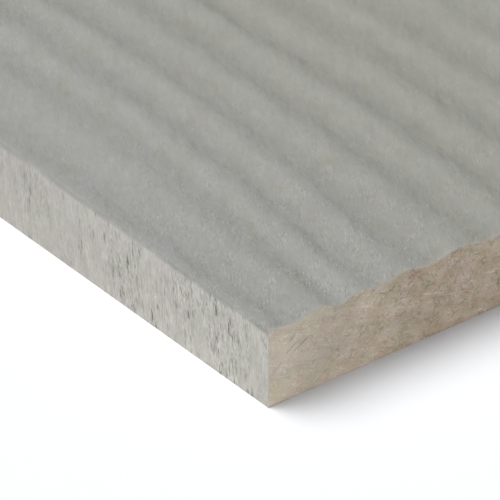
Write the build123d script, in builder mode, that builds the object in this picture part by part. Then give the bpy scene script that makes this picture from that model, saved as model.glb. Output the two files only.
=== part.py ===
"""Fibre cement cladding plank, lying on its flat back with the wavy wood grain face up."""

import os
from math import asin, degrees, radians, sin

from build123d import *

# Overall sizes, in millimetres
plank_length = 3600.0
plank_width = 190.0
plank_thickness = 10.0  # from the back to the tops of the ridges
arris_radius = 0.5  # rounding of the two long edges of the face

# Grain ridges, which run the whole length of the face
ridge_pitch = 6.75  # mean distance from one ridge to the next
ridge_sway = 0.4  # most that a ridge stands to one side of its even place
sway_step = 94.0  # degrees of sway from one ridge to the next
valley_depth = 0.72  # mean depth of the valleys below the ridges
depth_swing = 0.18  # most that a valley is deeper or shallower than that
swing_step = 141.0  # degrees of swing from one valley to the next

# Shape of one wave
valley_place = 0.6  # share of the way to the next ridge at which the valley is deepest
ridge_share = 0.4  # share of a slope that is the ridge's round top, the rest is the valley's hollow

# The first and the last ridge are the two long edges of the face
first_ridge = arris_radius - plank_width / 2
last_ridge = plank_width / 2 - arris_radius
wave_count = max(2, round((last_ridge - first_ridge) / ridge_pitch))
even_pitch = (last_ridge - first_ridge) / wave_count


def ridge_place(index):
    """Distance of an inner ridge from the plank's centre line."""
    return first_ridge + even_pitch * index + ridge_sway * sin(radians(sway_step * index))


def wave_depth(index):
    """Depth of one valley below the ridges beside it."""
    return valley_depth + depth_swing * sin(radians(swing_step * index))


def slope_arcs(run, depth):
    """Radii of a ridge's top and a valley's hollow that join smoothly over a run, and their turn."""
    both_radii = (run**2 + depth**2) / (2 * depth)
    ridge_radius = ridge_share * both_radii
    return ridge_radius, both_radii - ridge_radius, degrees(asin(run / both_radii))


ridges = [first_ridge, *(ridge_place(index) for index in range(1, wave_count)), last_ridge]

# One section, wavy on top and plain on its other sides, drawn out to the full length
with BuildPart() as plank:
    with BuildSketch(Plane.YZ) as section:
        with BuildLine() as outline:
            for index in range(wave_count):
                spacing = ridges[index + 1] - ridges[index]
                depth = wave_depth(index)
                fall = valley_place * spacing
                top_radius, hollow_radius, turn = slope_arcs(fall, depth)
                top = JernArc((ridges[index], plank_thickness), (1, 0), top_radius, -turn)
                hollow = JernArc(top @ 1, top % 1, hollow_radius, turn)
                top_radius, hollow_radius, turn = slope_arcs(spacing - fall, depth)
                hollow = JernArc(hollow @ 1, (1, 0), hollow_radius, turn)
                JernArc(hollow @ 1, hollow % 1, top_radius, -turn)
            right_arris = JernArc((last_ridge, plank_thickness), (1, 0), arris_radius, -90)
            left_arris = JernArc((first_ridge, plank_thickness), (-1, 0), arris_radius, 90)
            Polyline(
                right_arris @ 1,
                (plank_width / 2, 0),
                (-plank_width / 2, 0),
                left_arris @ 1,
            )
        make_face()
    extrude(amount=plank_length / 2, both=True)

plank.part.label = "cladding_plank"

os.makedirs("parts", exist_ok=True)
export_step(plank.part, "parts/cladding_plank.step")
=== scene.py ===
"""Fibre cement cladding plank in soft studio light: wavy grain face, painted edges, raw sawn ends."""

from math import cos, exp, pi, radians, sin

import bmesh
import bpy
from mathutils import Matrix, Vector, noise


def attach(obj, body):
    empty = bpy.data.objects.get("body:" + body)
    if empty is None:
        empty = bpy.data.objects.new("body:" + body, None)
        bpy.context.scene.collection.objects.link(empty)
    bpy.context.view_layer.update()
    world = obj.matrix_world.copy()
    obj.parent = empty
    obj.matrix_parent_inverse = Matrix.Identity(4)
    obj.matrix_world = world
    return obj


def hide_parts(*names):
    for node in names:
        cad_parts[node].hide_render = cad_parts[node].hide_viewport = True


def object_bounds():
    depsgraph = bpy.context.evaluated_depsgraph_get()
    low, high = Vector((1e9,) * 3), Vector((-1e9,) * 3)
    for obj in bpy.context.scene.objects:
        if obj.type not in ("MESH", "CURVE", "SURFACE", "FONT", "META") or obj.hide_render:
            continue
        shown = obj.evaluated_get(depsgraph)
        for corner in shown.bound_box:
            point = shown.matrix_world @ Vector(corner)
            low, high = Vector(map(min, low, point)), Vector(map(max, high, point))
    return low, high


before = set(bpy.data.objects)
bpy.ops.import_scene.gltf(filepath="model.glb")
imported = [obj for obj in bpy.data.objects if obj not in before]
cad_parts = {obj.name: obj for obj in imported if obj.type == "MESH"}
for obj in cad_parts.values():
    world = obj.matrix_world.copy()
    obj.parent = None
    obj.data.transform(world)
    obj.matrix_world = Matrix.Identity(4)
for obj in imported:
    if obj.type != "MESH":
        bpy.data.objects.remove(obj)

MM = 0.001
NODE = "cladding_plank"

# The plank's box, from the frame
cad_low, cad_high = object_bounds()
LENGTH = cad_high.x - cad_low.x
WIDTH = cad_high.y - cad_low.y
THICKNESS = cad_high.z - cad_low.z

# Grain ridges of the face, as the plank's section has them
ARRIS_RADIUS = 0.5 * MM
RIDGE_PITCH = 6.75 * MM
RIDGE_SWAY = 0.4 * MM
SWAY_STEP = radians(94)
VALLEY_DEPTH = 0.72 * MM
DEPTH_SWING = 0.18 * MM
SWING_STEP = radians(141)
VALLEY_PLACE = 0.6  # share of the way to the next ridge at which the valley is deepest

# Shape of one wave, a little rounder than in the section
FALL_SHARE = 0.35  # share of a falling side that is the ridge's round top
RISE_SHARE = 0.5  # share of a rising side that is the next ridge's round top
RIM_SHARE = 0.5  # share of the sides at the long rims that is their round top
RIM_SLOPE = 0.5  # slope at which the face leaves its long rims, as a share of its steepest
DEEPEST = 3 * VALLEY_DEPTH  # no place of the face is as deep as this

# Wander of the ridges: swing, length of its wave along the plank and lead, width across it and lead
WANDERS = (
    (1.4 * MM, 93 * MM, radians(54), 71 * MM, radians(127)),
    (1.4 * MM, 137 * MM, radians(347), 60 * MM, radians(173)),
    (1.15 * MM, 120 * MM, radians(82), 45 * MM, radians(187)),
)
WANDER_EASE = 11 * MM  # the wander dies away towards the straight long edges

# Swell of the valleys, which deepen and fade along the plank and across it
SWELL = 0.89
SWELL_MEAN = 0.89
SWELL_LENGTH = 54 * MM
SWELL_WIDTH = 7.8 * MM
SWELL_LEAD = Vector((30.5, 77.2, 53.6))

# Wear of the sawn rims: most that it takes off, and how long its nicks are
RIM_WEAR = 0.12 * MM
RIM_NICK = 1.6 * MM

# Where the face's paint meets the edge's round the arris, and how it wanders and frays
RIM_TOP = THICKNESS - 0.22 * MM
RIM_FOOT = THICKNESS - 0.85 * MM
RIM_SWAY = 0.16 * MM
RIM_FRAY = 0.05 * MM

# Heights of the face at which its hollows start and are full, and how much of a hollow a ridge is
HOLLOW_TOP = THICKNESS - 0.1 * MM
HOLLOW_FOOT = THICKNESS - 0.45 * MM
HOLLOW_LEAST = 0.3

# Mesh of the plank
WAVE_STEPS = 10
ROWS = 300
RIM_ROW = 0.5 * MM  # from each end to the row next to it
END_CROWDING = 0.9  # how much closer than even the other rows are at the two ends
END_REACH = 0.05  # share of the rows that close up towards each end
ARRIS_STEPS = 3
SIDE_STEPS = 4
WELD = 1e-6
FACE, EDGE, END, BACK = range(4)

# Strips that the plank is cut into for its bake, and the room around them
FACE_STRIPS = 3
EDGE_STRIPS = 3
BACK_STRIPS = 2
BAKE_MARGIN = 0.006

# Camera, measured from the near bottom corner of the plank
CAMERA_AZIMUTH = radians(51.7)
CAMERA_ELEVATION = radians(34.1)
CAMERA_DISTANCE = 1308 * MM
CAMERA_LENS = 879
CAMERA_SENSOR = 36
AIM_ALONG = 13.4 * MM
AIM_ACROSS = 8.1 * MM

# Sky and lamps, with levels as shares of the light that renders a colour as it is written
SKY_LEVEL = 0.1
SKY_COLOUR = (0.85, 1.0, 1.3, 1)
KEY_LEVEL = 0.95
FILL_LEVEL = 0.35
KEY_ELEVATION = radians(61)
KEY_TRAVEL = Vector((0.77, 0.64, 0))
KEY_ANGLE = radians(48)
FILL_ELEVATION = radians(9)
FILL_TRAVEL = Vector((-1, 0.1, 0))
FILL_ANGLE = radians(16)
FILL_COLOUR = (0.93, 1.0, 1.12)
WHITE = (1, 1, 1, 1)

# Floor: colour, lift to full white, size and gap below the plank
FLOOR_COLOUR = (0.97, 0.97, 0.97, 1)
FLOOR_LIFT = 0.04
FLOOR_SIZE = 60.0
FLOOR_GAP = 0.02 * MM

# Paint and raw board colours, with the painted shade and painted light that some of them stand for
FACE_GREY = (0.350, 0.345, 0.317, 1)
FACE_BEIGE = (0.325, 0.318, 0.278, 1)
FACE_STAIN = (0.322, 0.309, 0.250, 1)
EDGE_PAINT = (0.550, 0.531, 0.470, 1)
EDGE_BLUSH = (0.556, 0.522, 0.478, 1)
# painted shade: near-black that stands for the shade inside the slits of the long edges
EDGE_SLIT_SHADE = (0.11, 0.10, 0.085, 1)
RAW_SAND = (0.560, 0.482, 0.378, 1)
RAW_OCHRE = (0.482, 0.396, 0.300, 1)
RAW_RIM = (0.42, 0.37, 0.29, 1)
RAW_LIP = (0.48, 0.45, 0.395, 1)
# light-coloured fibres and layer streaks, partly painted highlight on the raised threads
PALE_THREAD_AND_HIGHLIGHT = (1.42, 1.46, 1.52, 1)
# painted shade: darkening that stands for the shade in the hollows, pits and saw scratches of the sawn ends
PAINTED_HOLLOW_SHADE = (0.78, 0.735, 0.67, 1)
BROWN_TINT = (0.83, 0.775, 0.715, 1)
ROSE_TINT = (1.0, 0.93, 0.93, 1)
OLIVE_TINT = (0.95, 0.98, 0.93, 1)
# painted light: makes the foot of the sawn ends paler, as if lit from the floor
PAINTED_FOOT_LIGHT = (1.28, 1.25, 1.20, 1)
BACK_GREY = (0.41, 0.385, 0.335, 1)
BACK_DARK = (0.33, 0.30, 0.255, 1)
SPECULAR = 0.3  # of all four finishes

# How far apart the stretches of like finish are, along the plank or across it
NAP_LENGTH = 96 * MM
WEAR_LENGTH = 100 * MM
FADE_LENGTH = 95 * MM
DRIFT_LENGTH = 54 * MM

# Ways in which the marks of each surface lie, in degrees
FACE_LAY = -38
NAP_LAYS = (FACE_LAY, -22, -56)
TONE_LAY = 20
KNOT_LAY = -15
EDGE_LEAN = -8
THREAD_LAYS = (24, -20, 66, -58)
SAW_LAY = 33
CLOUD_LAY = -10
BLOTCH_LAY = -12
LAYER_LAY = -16
STREAK_LAY = -18
OLIVE_LAY = 40

# Span that nearly all of a noise lies in, and the soft rim of a fleck as a share of its cell
NOISE_LOW = 0.3
NOISE_HIGH = 0.7
FLECK_RIM = 0.12

# Sockets of a Mix node that blends colours
MIX_SHARE, MIX_FIRST, MIX_SECOND, MIX_RESULT = 0, 6, 7, 2


def smooth_ramp(value):
    """Eased step from 0 to 1."""
    value = min(1.0, max(0.0, value))
    return value * value * (3 - 2 * value)


def ridge_lines():
    """Places of the ridges across the plank, the first and the last at its long edges."""
    first = cad_low.y + ARRIS_RADIUS
    last = cad_high.y - ARRIS_RADIUS
    count = round((last - first) / RIDGE_PITCH)
    pitch = (last - first) / count
    inner = [first + pitch * i + RIDGE_SWAY * sin(SWAY_STEP * i) for i in range(1, count)]
    return [first, *inner, last]


def slope_drop(part, ridge, start):
    """Share of a valley's depth at a part of the way down from its ridge, which is left at a start slope."""
    steepest = 2 / (1 + ridge * start)
    if part < ridge:
        return steepest * (start * part + (1 - start) * part * part / (2 * ridge))
    return 1 - steepest * (1 - part) ** 2 / (2 * (1 - ridge))


def face_columns():
    """The columns of the face's mesh: place across the plank, wave and share of the wave's depth."""
    ridges = ridge_lines()
    last_wave = len(ridges) - 2
    rim = RIM_SHARE, RIM_SLOPE
    columns = []
    for wave, (ridge, next_ridge) in enumerate(zip(ridges, ridges[1:])):
        falling = rim if wave == 0 else (FALL_SHARE, 0.0)
        rising = rim if wave == last_wave else (RISE_SHARE, 0.0)
        for step in range(WAVE_STEPS):
            share = step / WAVE_STEPS
            if share < VALLEY_PLACE:
                drop = slope_drop(share / VALLEY_PLACE, *falling)
            else:
                drop = slope_drop((1 - share) / (1 - VALLEY_PLACE), *rising)
            columns.append((ridge + share * (next_ridge - ridge), wave, drop))
    columns.append((ridges[-1], len(ridges) - 1, 0.0))
    return columns


def row_place(share):
    """Place along the plank of a row, from a share of -1 at one end to 1 at the other."""
    def crowded(part):
        return part - END_CROWDING * END_REACH * (1 - exp(-part / END_REACH))

    one_row = 2 / ROWS
    part = max(0.0, 1 - abs(share) - one_row) / (1 - one_row)
    to_end = RIM_ROW + crowded(part) / crowded(1) * (LENGTH / 2 - RIM_ROW)
    if abs(share) > 1 - one_row / 2:
        to_end = 0.0
    return cad_high.x - to_end if share > 0 else cad_low.x + to_end


def wander(x, y):
    """Sideways shift of the grain at a place on the face."""
    along = cad_high.x - x
    across = y - cad_low.y
    shift = 0.0
    for swing, length, lead, width, side_lead in WANDERS:
        shift += swing * cos(2 * pi * along / length + lead) * sin(2 * pi * across / width + side_lead)
    inside = min(across, WIDTH - across) - ARRIS_RADIUS
    return shift * smooth_ramp(inside / WANDER_EASE)


def grain_depth(x, column):
    """Depth of the face below the ridges at a place along one of its columns."""
    y, wave, drop = column
    depth = VALLEY_DEPTH + DEPTH_SWING * sin(SWING_STEP * wave)
    place = Vector(((cad_high.x - x) / SWELL_LENGTH, (y - cad_low.y) / SWELL_WIDTH, 0))
    return depth * drop * (SWELL_MEAN + SWELL * noise.noise(place + SWELL_LEAD))


def grain_slope(x, columns, number):
    """Rise of the face across the plank, at a place along one of its columns."""
    before = columns[max(0, number - 1)]
    after = columns[min(number + 1, len(columns) - 1)]
    return (grain_depth(x, before) - grain_depth(x, after)) / (after[0] - before[0])


def grow(mesh, edges, move, zone):
    """Extrudes a row of edges, moves its new vertices, gives its faces a zone and returns the new row."""
    made = bmesh.ops.extrude_edge_only(mesh, edges=edges)["geom"]
    for item in made:
        if isinstance(item, bmesh.types.BMVert):
            item.co = move(item.co)
        elif isinstance(item, bmesh.types.BMFace):
            item.material_index = zone
    return [item for item in made if isinstance(item, bmesh.types.BMEdge)]


def edges_at(mesh, holds):
    """Open edges of the mesh with both ends where a test holds."""
    return [edge for edge in mesh.edges if edge.is_boundary and all(holds(v.co) for v in edge.verts)]


def grow_sides(mesh):
    """Adds the rounded arris and the flat side along each long edge of the face."""
    rim = WIDTH / 2 - ARRIS_RADIUS
    shoulder = cad_high.z - ARRIS_RADIUS
    for side in (-1, 1):
        row = edges_at(mesh, lambda co: side * co.y > rim - WELD)
        for step in range(1, ARRIS_STEPS + 1):
            turn = radians(90) * step / ARRIS_STEPS
            y = side * (rim + ARRIS_RADIUS * sin(turn))
            z = shoulder + ARRIS_RADIUS * cos(turn)
            row = grow(mesh, row, lambda co: Vector((co.x, y, z)), FACE)
        for step in range(1, SIDE_STEPS + 1):
            z = shoulder * (1 - step / SIDE_STEPS)
            row = grow(mesh, row, lambda co: Vector((co.x, co.y, z)), EDGE)


def grow_ends(mesh):
    """Adds the sawn end below each end of the face, and welds it to the sides."""
    top = cad_high.z - DEEPEST
    for side in (-1, 1):
        row = edges_at(mesh, lambda co: side * co.x > LENGTH / 2 - WELD and co.z > top)
        for step in range(1, SIDE_STEPS + 1):
            left = (SIDE_STEPS - step) / (SIDE_STEPS - step + 1)
            row = grow(mesh, row, lambda co: Vector((co.x, co.y, co.z * left)), END)
    bmesh.ops.remove_doubles(mesh, verts=mesh.verts[:], dist=WELD)


def close_back(mesh):
    """Closes the flat back: strips across the plank, and one face inside each end."""
    last_row = max(v.co.x for v in mesh.verts if v.co.x < LENGTH / 2 - WELD)
    rims = edges_at(mesh, lambda co: co.z < WELD and abs(co.x) < last_row + WELD)
    made = bmesh.ops.bridge_loops(mesh, edges=rims)["faces"]
    made += bmesh.ops.holes_fill(mesh, edges=edges_at(mesh, lambda co: co.z < WELD))["faces"]
    for face in made:
        face.material_index = BACK


def wear_rims(mesh):
    """Nicks the upper rims of the sawn ends, and notes each end's depth below its face."""
    below = mesh.verts.layers.float.new("below_face")
    at_ends = [v for v in mesh.verts if abs(v.co.x) > LENGTH / 2 - WELD]
    tops = {}
    for vert in at_ends:
        column = vert.co.x > 0, round(vert.co.y / WELD)
        tops[column] = max(tops.get(column, 0.0), vert.co.z)
    for vert in at_ends:
        top = tops[vert.co.x > 0, round(vert.co.y / WELD)]
        vert[below] = top - vert.co.z
        if vert.co.z > top - WELD:
            nick = noise.noise((vert.co.x, vert.co.y / RIM_NICK, 0.0))
            vert.co.z -= RIM_WEAR * smooth_ramp(0.5 + nick)


def mark_sharp(mesh):
    """Rounds the shading everywhere but at the sawn ends and round the back."""
    for face in mesh.faces:
        face.smooth = True
    for edge in mesh.edges:
        zones = {face.material_index for face in edge.link_faces}
        edge.smooth = len(zones) == 1 or zones == {FACE, EDGE}


def bake_bands():
    """Bands of the bake, one for each side of the plank: foot, length of a strip, scale and step."""
    room = 1 - 2 * BAKE_MARGIN
    bands = {}
    foot = BAKE_MARGIN
    for zone, side, strips, height in (
        (FACE, 0, FACE_STRIPS, WIDTH),
        (BACK, 0, BACK_STRIPS, WIDTH),
        (EDGE, -1, EDGE_STRIPS, THICKNESS),
        (EDGE, 1, EDGE_STRIPS, THICKNESS),
        (END, -1, 1, THICKNESS),
        (END, 1, 1, THICKNESS),
    ):
        strip = (WIDTH if zone == END else LENGTH) / strips
        scale = room / strip
        step = height * scale + BAKE_MARGIN
        bands[zone, side] = foot, strip, scale, step
        foot += strips * step
    return bands


def face_side(zone, centre):
    """Which of the two edges or ends a face is on, or 0 on the grain face and the back."""
    if zone == EDGE:
        return -1 if centre.y < 0 else 1
    if zone == END:
        return -1 if centre.x < 0 else 1
    return 0


def strip_place(zone, co):
    """Distances of a place along its side of the plank and across it."""
    along = co.y - cad_low.y if zone == END else co.x - cad_low.x
    across = co.y - cad_low.y if zone in (FACE, BACK) else co.z
    return along, across


def lay_out_bake(mesh):
    """Lays the plank's faces out for its bake: each long side in strips, one below the other."""
    layer = mesh.loops.layers.uv.new("OFBake")
    bands = bake_bands()
    for face in mesh.faces:
        zone = face.material_index
        centre = face.calc_center_median()
        foot, strip, scale, step = bands[zone, face_side(zone, centre)]
        number = int(strip_place(zone, centre)[0] / strip)
        for loop in face.loops:
            along, across = strip_place(zone, loop.vert.co)
            loop[layer].uv = (
                BAKE_MARGIN + (along - number * strip) * scale,
                foot + number * step + across * scale,
            )


def make_plank():
    """The plank's mesh: a grid for the grain face, drawn down into its sides and ends and closed below."""
    columns = face_columns()
    mesh = bmesh.new()
    bmesh.ops.create_grid(mesh, x_segments=ROWS, y_segments=len(columns) - 1, size=1)
    slope = mesh.verts.layers.float.new("slope")
    for vert in mesh.verts:
        number = round((vert.co.y + 1) / 2 * (len(columns) - 1))
        x = row_place(vert.co.x)
        y = columns[number][0]
        vert.co = Vector((x, y + wander(x, y), cad_high.z - grain_depth(x, columns[number])))
        vert[slope] = grain_slope(x, columns, number)
    grow_sides(mesh)
    grow_ends(mesh)
    close_back(mesh)
    bmesh.ops.recalc_face_normals(mesh, faces=mesh.faces[:])
    mark_sharp(mesh)
    lay_out_bake(mesh)
    wear_rims(mesh)
    data = bpy.data.meshes.new("plank")
    mesh.to_mesh(data)
    mesh.free()
    plank = bpy.data.objects.new("plank", data)
    bpy.context.scene.collection.objects.link(plank)
    return plank


class Finish:
    """A material under way: short calls add its nodes and join them."""

    def __init__(self, name):
        self.material = bpy.data.materials.new(name)
        self.material.use_nodes = True
        self.tree = self.material.node_tree
        self.shader = self.tree.nodes["Principled BSDF"]
        self.place = self.add("ShaderNodeTexCoord").outputs["Object"]

    def feed(self, socket, value):
        """Joins a socket to another, or sets its value."""
        if isinstance(value, bpy.types.NodeSocket):
            self.tree.links.new(value, socket)
        else:
            socket.default_value = value

    def add(self, kind, inputs=None, **settings):
        """Adds a node with its settings, and feeds its inputs."""
        node = self.tree.nodes.new(kind)
        for name, value in settings.items():
            setattr(node, name, value)
        for socket, value in (inputs or {}).items():
            self.feed(node.inputs[socket], value)
        return node

    def math(self, operation, first, second=0.0):
        """Two values joined by an operation."""
        return self.add("ShaderNodeMath", {0: first, 1: second}, operation=operation).outputs[0]

    def plus(self, first, second):
        """Two values added."""
        return self.math("ADD", first, second)

    def minus(self, first, second):
        """One value less another."""
        return self.math("SUBTRACT", first, second)

    def times(self, first, second):
        """Two values multiplied."""
        return self.math("MULTIPLY", first, second)

    def most(self, first, second):
        """The greater of two values."""
        return self.math("MAXIMUM", first, second)

    def ramp(self, value, low, high, to_low=0.0, to_high=1.0):
        """Turns one range of a value into another, and stops at its ends."""
        inputs = {"Value": value, "From Min": low, "From Max": high, "To Min": to_low, "To Max": to_high}
        return self.add("ShaderNodeMapRange", inputs).outputs[0]

    def spread(self, value, to_low, to_high):
        """Turns the span of a noise into a range."""
        return self.ramp(value, NOISE_LOW, NOISE_HIGH, to_low, to_high)

    def swing(self, value, reach):
        """Turns the span of a noise into a reach to both sides of 0."""
        return self.spread(value, -reach, reach)

    def axis(self, name):
        """Place along one axis of the plank."""
        return self.add("ShaderNodeSeparateXYZ", {0: self.place}).outputs[name]

    def to_side(self):
        """Distance to the nearer long edge."""
        return self.minus(WIDTH / 2, self.math("ABSOLUTE", self.axis("Y")))

    def to_end(self):
        """Distance to the nearer sawn end."""
        return self.minus(LENGTH / 2, self.math("ABSOLUTE", self.axis("X")))

    def attribute(self, name):
        """A number that the plank's vertices hold."""
        return self.add("ShaderNodeAttribute", attribute_name=name).outputs["Fac"]

    def drift(self, distance, length, least, most):
        """Slow change with a distance, from its most at the start to its least half a length on."""
        turn = self.times(distance, 2 * pi / length)
        return self.ramp(self.math("COSINE", turn), -1.0, 1.0, least, most)

    def drawn_out(self, size, stretch, turn):
        """The place on the plank, counted in steps of a size that are drawn out along turned axes."""
        inputs = {"Vector": self.place, "Rotation": turn, "Scale": [size * part for part in stretch]}
        return self.add("ShaderNodeMapping", inputs, vector_type="TEXTURE").outputs[0]

    def specks(self, size, stretch=(1, 1, 1), turn=(0, 0, 0), detail=2.0, rough=0.5):
        """Noise with features of about one size, drawn out along turned axes."""
        place = self.drawn_out(size, stretch, turn)
        inputs = {"Vector": place, "Scale": 1.0, "Detail": detail, "Roughness": rough}
        return self.add("ShaderNodeTexNoise", inputs).outputs[0]

    def flecks(self, size, stretch, turn, share, reach, ragged=0.6):
        """Separate flecks, drawn out along turned axes: a share of the cells has one, of up to a reach."""
        place = self.drawn_out(size, stretch, turn)
        rough = self.add("ShaderNodeTexNoise", {"Vector": place, "Scale": 2.0, "Detail": 1.0})
        inputs = {0: rough.outputs[1], 1: (ragged, ragged, ragged), 2: place}
        moved = self.add("ShaderNodeVectorMath", inputs, operation="MULTIPLY_ADD")
        cells = self.add("ShaderNodeTexVoronoi", {"Vector": moved.outputs[0], "Scale": 1.0})
        chance = self.add("ShaderNodeSeparateColor", {0: cells.outputs["Color"]}).outputs[0]
        span = self.ramp(chance, 0.0, share, reach, 0.0)
        return self.ramp(self.minus(cells.outputs["Distance"], span), 0.0, -FLECK_RIM)

    def fibres(self, size, stretch, turns, first, full):
        """Raised and sunk fibres: the highest and the lowest of several sets, each drawn out its own way."""
        sets = [self.specks(size, stretch, turn, detail=1.0) for turn in turns]
        raised = sunk = sets[0]
        for other in sets[1:]:
            raised = self.math("MAXIMUM", raised, other)
            sunk = self.math("MINIMUM", sunk, other)
        return self.ramp(raised, first, full), self.ramp(sunk, 1 - first, 1 - full)

    def rim(self):
        """Share of the edge's paint round the arris, where it meets the face's on a ragged line."""
        sway = self.swing(self.specks(3.6 * MM, detail=1.0), RIM_SWAY)
        fray = self.swing(self.specks(0.8 * MM), RIM_FRAY)
        return self.ramp(self.plus(self.axis("Z"), self.plus(sway, fray)), RIM_TOP, RIM_FOOT)

    def blend(self, share, first, second, how="MIX"):
        """Two colours blended by a share."""
        inputs = {MIX_SHARE: share, MIX_FIRST: first, MIX_SECOND: second}
        mix = self.add("ShaderNodeMix", inputs, data_type="RGBA", blend_type=how)
        return mix.outputs[MIX_RESULT]

    def tint(self, share, colour, tone):
        """A colour multiplied by another, by a share."""
        return self.blend(share, colour, tone, "MULTIPLY")

    def shade(self, colour, value):
        """A colour made lighter or darker by a value."""
        return self.tint(1.0, colour, value)

    def vary(self, colour, value, swing):
        """A colour made lighter and darker by the swing of a noise."""
        return self.shade(colour, self.spread(value, 1 - swing, 1 + swing))

    def bump(self, height, rise):
        """Relief from a height, with its real rise."""
        inputs = {"Height": height, "Distance": rise, "Strength": 1.0}
        return self.add("ShaderNodeBump", inputs).outputs[0]

    def done(self, colour, roughness, normal):
        """Joins the colour, roughness and relief to the shader, and returns the material."""
        self.feed(self.shader.inputs["Base Color"], colour)
        self.feed(self.shader.inputs["Roughness"], roughness)
        self.feed(self.shader.inputs["Normal"], normal)
        self.shader.inputs["Specular IOR Level"].default_value = SPECULAR
        return self.material


def face_turn(angle):
    """Turn by an angle in the plane of the face."""
    return 0, 0, radians(angle)


def edge_turn(angle):
    """Turn by an angle in the plane of the long edges."""
    return 0, radians(angle), 0


def end_turn(angle):
    """Turn by an angle in the plane of the sawn ends."""
    return radians(angle), 0, 0


def face_nap(finish):
    """Nap of the face: its raised fibres less its sunk ones, which stand up in patches."""
    patch = finish.ramp(finish.specks(1.7 * MM, detail=1.0), 0.42, 0.62, 0.2, 1.0)
    stand = finish.times(patch, finish.drift(finish.to_end(), NAP_LENGTH, 0.35, 1.0))
    stand = finish.times(stand, finish.drift(finish.to_side(), NAP_LENGTH, 0.4, 1.0))
    turns = [face_turn(lay) for lay in NAP_LAYS]
    raised, sunk = finish.fibres(0.17 * MM, (5, 1, 1), turns, first=0.56, full=0.74)
    return finish.times(finish.minus(raised, finish.times(sunk, 0.6)), stand)


def face_ruffle(finish):
    """Small and broad sideways shifts of the grain, as the relief that they give its slopes."""
    small = finish.specks(1.3 * MM, (2, 1, 1), face_turn(FACE_LAY), detail=1.0)
    broad = finish.specks(4 * MM, (1.6, 1, 1), face_turn(FACE_LAY), detail=1.0)
    shift = finish.plus(finish.swing(small, 0.12), finish.swing(broad, 0.36))
    return finish.times(shift, finish.attribute("slope"))


def face_colour(finish, nap, tufts):
    """Grey paint that fades to beige and back across the plank, stained in its hollows, with a paler nap,
    painted shade in its hollows and painted light on the rising sides of its ridges.
    """
    cloud = finish.specks(5 * MM, (1.6, 1, 1), detail=1.0)
    tone = finish.specks(1.8 * MM, (1.3, 1, 1), face_turn(TONE_LAY))
    grit = finish.specks(0.28 * MM)
    hollow = finish.ramp(finish.axis("Z"), HOLLOW_TOP, HOLLOW_FOOT, HOLLOW_LEAST, 1.0)
    stain = finish.specks(1.8 * MM, (1.4, 1, 1), face_turn(FACE_LAY), detail=1.0)
    stain = finish.times(finish.ramp(stain, 0.52, 0.7, 0.0, 0.45), hollow)
    fade = finish.drift(finish.to_side(), FADE_LENGTH, 1.0, 0.0)
    colour = finish.blend(fade, FACE_GREY, FACE_BEIGE)
    colour = finish.blend(stain, colour, FACE_STAIN)
    colour = finish.shade(colour, finish.drift(finish.to_end(), NAP_LENGTH, 1.025, 0.995))
    # painted shade: the deepest hollows of the face are made darker
    colour = finish.shade(colour, finish.ramp(hollow, HOLLOW_LEAST, 1.0, 1.0, 0.98))
    # painted light: the rising, lit sides of the ridges are made paler
    colour = finish.shade(colour, finish.ramp(finish.attribute("slope"), 0.05, 0.35, 1.0, 1.025))
    colour = finish.vary(colour, cloud, 0.02)
    colour = finish.vary(colour, tone, 0.028)
    colour = finish.vary(colour, tufts, 0.034)
    colour = finish.vary(colour, grit, 0.02)
    return finish.shade(colour, finish.plus(0.99, finish.times(nap, 0.31)))


def face_rims(finish, colour):
    """Rims of the face: painted shade along its sides, bare at the sawn ends, the edge's paint round the
    arris.
    """
    # painted shade: the face is darkened just inside its long rims, where the arris is lit more
    colour = finish.shade(colour, finish.ramp(finish.to_side(), 0.9 * MM, 0.4 * MM, 1.0, 0.95))
    ragged = finish.swing(finish.specks(0.9 * MM), 0.3 * MM)
    bare = finish.ramp(finish.plus(finish.to_end(), ragged), 0.5 * MM, -0.1 * MM, 0.0, 0.7)
    colour = finish.blend(bare, colour, RAW_RIM)
    arris = finish.ramp(finish.to_side(), ARRIS_RADIUS, 0.9 * ARRIS_RADIUS)
    return finish.blend(finish.times(finish.rim(), arris), colour, EDGE_PAINT)


def painted_face():
    """Matt grey paint on the grain face: knotted, with a nap that stands up in patches, and soft rims."""
    finish = Finish("painted_face")
    knots = finish.specks(1.9 * MM, (1.4, 1, 1), face_turn(KNOT_LAY))
    tufts = finish.specks(0.6 * MM, (3.5, 1, 1), face_turn(FACE_LAY))
    nap = face_nap(finish)
    colour = face_rims(finish, face_colour(finish, nap, tufts))
    height = finish.plus(finish.times(knots, 0.16), finish.times(nap, 0.03))
    height = finish.plus(height, finish.times(tufts, 0.05))
    height = finish.plus(height, face_ruffle(finish))
    roughness = finish.ramp(nap, -0.5, 0.5, 0.92, 0.8)
    return finish.done(colour, roughness, finish.bump(height, MM))


def edge_wear(finish, lean):
    """Share of wear on the long edges, in leaning patches that come and go along the plank."""
    patch = finish.ramp(finish.specks(2.4 * MM, (1, 1, 4), lean, detail=1.0), 0.35, 0.55, 0.25, 1.0)
    return finish.times(patch, finish.drift(finish.to_end(), WEAR_LENGTH, 0.28, 1.0))


def edge_slits(finish, lean, worn):
    """Slits where the edge's paint is worn open, one after another in chains, and a few longer gouges."""
    chain = finish.ramp(finish.specks(0.6 * MM, (1, 6, 14), lean, detail=1.0), 0.5, 0.6)
    long_slits = finish.flecks(0.24 * MM, (1, 6, 5), lean, share=1.0, reach=0.53)
    short_slits = finish.flecks(0.2 * MM, (1, 6, 4), lean, share=1.0, reach=0.53)
    slits = finish.times(finish.most(long_slits, short_slits), finish.times(chain, worn))
    gouges = finish.flecks(0.4 * MM, (1, 6, 6), lean, share=0.3, reach=0.36)
    gouges = finish.times(gouges, finish.ramp(worn, 0.0, 0.6, 0.1, 1.0))
    return finish.most(slits, gouges)


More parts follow.
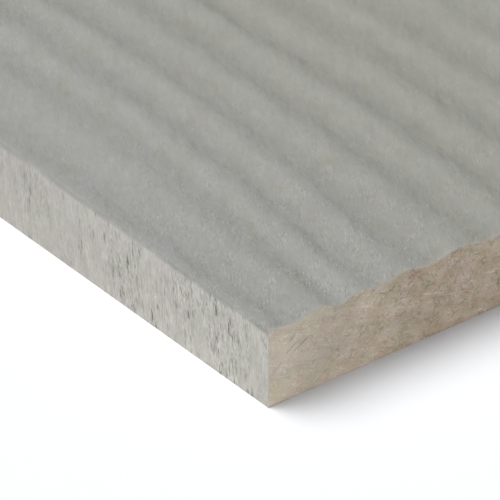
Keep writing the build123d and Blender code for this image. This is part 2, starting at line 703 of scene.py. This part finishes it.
def painted_edge():
    """Paler paint dragged across the thickness of the long edges, open in slits that follow one another,
    with painted shade in the slits and cracks.
    """
    finish = Finish("painted_edge")
    lean = edge_turn(EDGE_LEAN)
    cloud = finish.specks(9 * MM)
    blush = finish.specks(2.6 * MM, detail=1.0)
    dents = finish.specks(1.3 * MM, (1, 1, 2.4), lean, detail=1.0)
    streak = finish.specks(0.3 * MM, (1, 4, 6), lean, detail=3.0, rough=0.6)
    hair = finish.specks(0.2 * MM, (1, 4, 3), lean, detail=1.0)
    worn = edge_wear(finish, lean)
    slit = edge_slits(finish, lean, worn)
    crack = finish.times(finish.flecks(0.22 * MM, (1, 6, 8), lean, share=0.7, reach=0.42), worn)
    pale_and_highlight = finish.times(finish.flecks(0.3 * MM, (1, 6, 3), lean, share=0.7, reach=0.46), worn)
    drag = finish.plus(finish.swing(streak, 0.2), finish.swing(hair, 0.14))
    drag = finish.times(drag, finish.ramp(worn, 0.0, 1.0, 0.3, 1.0))
    colour = finish.blend(finish.ramp(blush, 0.5, 0.65), EDGE_PAINT, EDGE_BLUSH)
    colour = finish.shade(colour, finish.drift(finish.to_end(), NAP_LENGTH, 0.93, 1.02))
    colour = finish.vary(colour, cloud, 0.03)
    colour = finish.vary(colour, dents, 0.06)
    colour = finish.shade(colour, finish.plus(1.0, drag))
    # paler raised paint, partly painted highlight on the raised flecks
    colour = finish.shade(colour, finish.ramp(pale_and_highlight, 0.0, 1.0, 0.99, 1.22))
    # painted shade: the cracks are darkened for the shade in them
    colour = finish.shade(colour, finish.ramp(crack, 0.0, 1.0, 1.01, 0.72))
    # painted shade: the slits are filled with a near-black colour for the shade inside them
    colour = finish.blend(finish.times(slit, 0.76), colour, EDGE_SLIT_SHADE)
    colour = finish.blend(finish.rim(), FACE_GREY, colour)
    height = finish.minus(finish.plus(drag, pale_and_highlight), finish.plus(slit, crack))
    height = finish.plus(height, dents)
    roughness = finish.spread(hair, 0.9, 0.75)
    return finish.done(colour, roughness, finish.bump(height, 0.08 * MM))


def torn_marks(finish, drift):
    """Threads, hollows and pits of the sawn ends, in patches where the saw tore the board."""
    torn = finish.ramp(finish.specks(1.8 * MM, detail=1.0), 0.38, 0.58, 0.3, 1.0)
    torn = finish.times(torn, finish.ramp(drift, 0.3, 1.0, 1.0, 0.52))
    turns = [end_turn(lay) for lay in THREAD_LAYS]
    raised, sunk = finish.fibres(0.175 * MM, (2, 6, 1), turns, first=0.63, full=0.72)
    pits = finish.flecks(0.32 * MM, (1, 1.5, 1), end_turn(SAW_LAY), share=0.2, reach=0.38)
    return [finish.times(mark, torn) for mark in (raised, sunk, pits)]


def end_colour(finish, drift):
    """Raw board, sandy to ochre across the plank, with brown, rosy and olive clouds and painted light that
    makes its foot paler.
    """
    cloud = finish.specks(5 * MM, (1, 1.5, 0.8), end_turn(CLOUD_LAY), detail=1.0)
    blotch = finish.specks(1.7 * MM, (1, 1.4, 0.9), end_turn(BLOTCH_LAY), detail=3.0)
    rose = finish.specks(1.5 * MM, (1, 1.3, 0.9))
    olive = finish.specks(2.4 * MM, (1, 1.3, 0.9), end_turn(OLIVE_LAY))
    brown = finish.times(finish.ramp(blotch, 0.64, 0.36), finish.ramp(drift, 0.0, 1.0, 1.0, 0.4))
    foot = finish.ramp(finish.axis("Z"), 3.5 * MM, 0.0)
    colour = finish.vary(finish.blend(drift, RAW_OCHRE, RAW_SAND), cloud, 0.075)
    colour = finish.tint(brown, colour, BROWN_TINT)
    colour = finish.tint(finish.ramp(rose, 0.5, 0.68), colour, ROSE_TINT)
    colour = finish.tint(finish.ramp(olive, 0.44, 0.62), colour, OLIVE_TINT)
    # painted light: the lowest 3.5 mm of each sawn end are made paler, as if lit from the floor
    return finish.tint(foot, colour, PAINTED_FOOT_LIGHT)


def end_rims(finish, colour):
    """Torn paint along the upper rims and the corners of the sawn ends."""
    ragged = finish.swing(finish.specks(0.5 * MM, detail=3.0), 0.2 * MM)
    lip = finish.ramp(finish.plus(finish.attribute("below_face"), ragged), 0.3 * MM, -0.15 * MM)
    colour = finish.blend(lip, colour, RAW_LIP)
    corner = finish.ramp(finish.plus(finish.to_side(), ragged), 0.14 * MM, 0.02 * MM)
    return finish.blend(corner, colour, EDGE_PAINT)


def sawn_end():
    """Raw fibre cement of the sawn ends: sandy to brown, layered, fibrous, with torn paint at its rims,
    painted shade in its hollows, pits and scratches, and light-coloured threads that are partly painted
    highlight.
    """
    finish = Finish("sawn_end")
    drift = finish.drift(finish.to_side(), DRIFT_LENGTH, 0.0, 1.0)
    layers = finish.specks(0.6 * MM, (4, 8, 0.9), end_turn(LAYER_LAY), detail=3.0)
    grit = finish.specks(0.2 * MM, rough=0.7)
    threads, hollows, pits = torn_marks(finish, drift)
    scratch = finish.flecks(0.9 * MM, (1, 3, 0.14), end_turn(SAW_LAY), share=0.06, reach=0.6, ragged=0.15)
    scratch = finish.times(scratch, drift)
    streak = finish.flecks(0.8 * MM, (1, 5, 0.6), end_turn(STREAK_LAY), share=0.16, reach=0.55, ragged=0.7)
    streak = finish.times(streak, finish.ramp(drift, 0.0, 1.0, 0.7, 0.2))
    colour = end_colour(finish, drift)
    colour = finish.vary(colour, layers, 0.06)
    colour = finish.vary(colour, grit, 0.05)
    # light-coloured threads and streaks, partly painted highlight on the raised threads
    colour = finish.tint(finish.most(threads, streak), colour, PALE_THREAD_AND_HIGHLIGHT)
    # painted shade: hollows and pits of the sawn end are darkened for the shade in them
    colour = finish.tint(finish.most(hollows, pits), colour, PAINTED_HOLLOW_SHADE)
    # painted shade in the saw scratches
    colour = finish.tint(scratch, colour, PAINTED_HOLLOW_SHADE)
    colour = end_rims(finish, colour)
    sunk = finish.plus(hollows, finish.plus(scratch, pits))
    height = finish.minus(finish.plus(threads, layers), sunk)
    roughness = finish.spread(grit, 0.95, 0.85)
    return finish.done(colour, roughness, finish.bump(height, 0.05 * MM))


def plain_back():
    """Unpainted back: greyer, with the faint print of the felt that carried the board."""
    finish = Finish("plain_back")
    blotch = finish.specks(30 * MM, (2, 1, 1), detail=3.0)
    felt = finish.times(finish.specks(0.7 * MM, (1, 4, 1)), finish.specks(0.7 * MM, (4, 1, 1)))
    grain = finish.specks(0.4 * MM, detail=3.0)
    colour = finish.blend(finish.ramp(blotch, 0.35, 0.65), BACK_DARK, BACK_GREY)
    colour = finish.shade(colour, finish.ramp(felt, 0.15, 0.35, 0.94, 1.06))
    colour = finish.vary(colour, grain, 0.08)
    roughness = finish.spread(grain, 0.95, 0.85)
    return finish.done(colour, roughness, finish.bump(finish.plus(felt, grain), 0.08 * MM))


def seen_by_eye(tree):
    """1 for what the camera sees, straight on or in gloss or glass, and 0 for light on its way."""
    path = tree.nodes.new("ShaderNodeLightPath")
    seen = path.outputs["Is Camera Ray"]
    for name in ("Is Glossy Ray", "Is Transmission Ray"):
        either = tree.nodes.new("ShaderNodeMath")
        either.operation = "MAXIMUM"
        tree.links.new(seen, either.inputs[0])
        tree.links.new(path.outputs[name], either.inputs[1])
        seen = either.outputs[0]
    return seen


def floor_white():
    """White of the floor, lifted to full white where the camera sees it."""
    material = bpy.data.materials.new("floor_white")
    material.use_nodes = True
    tree = material.node_tree
    tree.nodes.clear()
    diffuse = tree.nodes.new("ShaderNodeBsdfDiffuse")
    diffuse.inputs["Color"].default_value = FLOOR_COLOUR
    glow = tree.nodes.new("ShaderNodeEmission")
    lift = tree.nodes.new("ShaderNodeMath")
    lift.operation = "MULTIPLY"
    lift.inputs[1].default_value = FLOOR_LIFT
    both = tree.nodes.new("ShaderNodeAddShader")
    output = tree.nodes.new("ShaderNodeOutputMaterial")
    tree.links.new(seen_by_eye(tree), lift.inputs[0])
    tree.links.new(lift.outputs[0], glow.inputs["Strength"])
    tree.links.new(diffuse.outputs[0], both.inputs[0])
    tree.links.new(glow.outputs[0], both.inputs[1])
    tree.links.new(both.outputs[0], output.inputs["Surface"])
    return material


def make_floor():
    """Plain floor just below the plank, which keeps the plank's shadow."""
    mesh = bmesh.new()
    bmesh.ops.create_grid(mesh, x_segments=1, y_segments=1, size=FLOOR_SIZE / 2)
    bmesh.ops.translate(mesh, verts=mesh.verts[:], vec=(0, 0, cad_low.z - FLOOR_GAP))
    data = bpy.data.meshes.new("floor")
    mesh.to_mesh(data)
    mesh.free()
    data.materials.append(floor_white())
    floor = bpy.data.objects.new("floor", data)
    bpy.context.scene.collection.objects.link(floor)


def make_sky():
    """Even soft light from all round, white where the camera sees it."""
    world = bpy.data.worlds.new("studio")
    world.use_nodes = True
    bpy.context.scene.world = world
    tree = world.node_tree
    seen = seen_by_eye(tree)
    level = tree.nodes.new("ShaderNodeMapRange")
    level.inputs["To Min"].default_value = SKY_LEVEL
    level.inputs["To Max"].default_value = 1.0
    colour = tree.nodes.new("ShaderNodeMix")
    colour.data_type = "RGBA"
    colour.inputs[MIX_FIRST].default_value = SKY_COLOUR
    colour.inputs[MIX_SECOND].default_value = WHITE
    background = tree.nodes["Background"]
    tree.links.new(seen, level.inputs["Value"])
    tree.links.new(seen, colour.inputs[MIX_SHARE])
    tree.links.new(colour.outputs[MIX_RESULT], background.inputs["Color"])
    tree.links.new(level.outputs[0], background.inputs["Strength"])


def make_lamp(name, level, travel, elevation, angle, colour=WHITE[:3]):
    """Broad even lamp whose light travels one way over the floor and comes down at an elevation."""
    data = bpy.data.lights.new(name, "SUN")
    data.energy = level * pi
    data.angle = angle
    data.color = colour
    lamp = bpy.data.objects.new(name, data)
    direction = travel.normalized() * cos(elevation) - Vector((0, 0, sin(elevation)))
    lamp.rotation_mode = "QUATERNION"
    lamp.rotation_quaternion = direction.to_track_quat("-Z", "Y")
    bpy.context.scene.collection.objects.link(lamp)


def make_camera():
    """Long lens on the near corner of the plank, from the photograph's side."""
    corner = Vector((cad_high.x, cad_low.y, cad_low.z))
    back = Vector((
        sin(CAMERA_AZIMUTH) * cos(CAMERA_ELEVATION),
        -cos(CAMERA_AZIMUTH) * cos(CAMERA_ELEVATION),
        sin(CAMERA_ELEVATION),
    ))
    aim = Vector((cad_high.x - AIM_ALONG, cad_low.y + AIM_ACROSS, cad_high.z))
    data = bpy.data.cameras.new("camera")
    data.lens = CAMERA_LENS
    data.sensor_width = CAMERA_SENSOR
    camera = bpy.data.objects.new("camera", data)
    camera.location = corner + CAMERA_DISTANCE * back
    camera.rotation_mode = "QUATERNION"
    camera.rotation_quaternion = (aim - camera.location).to_track_quat("-Z", "Y")
    bpy.context.scene.collection.objects.link(camera)
    bpy.context.scene.camera = camera


plank = make_plank()
for make_finish in (painted_face, painted_edge, sawn_end, plain_back):
    plank.data.materials.append(make_finish())
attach(plank, "root")
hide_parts(NODE)

make_floor()
make_sky()
make_lamp("key", KEY_LEVEL, KEY_TRAVEL, KEY_ELEVATION, KEY_ANGLE)
make_lamp("fill", FILL_LEVEL, FILL_TRAVEL, FILL_ELEVATION, FILL_ANGLE, FILL_COLOUR)
make_camera()
bpy.context.scene.view_settings.view_transform = "Standard"
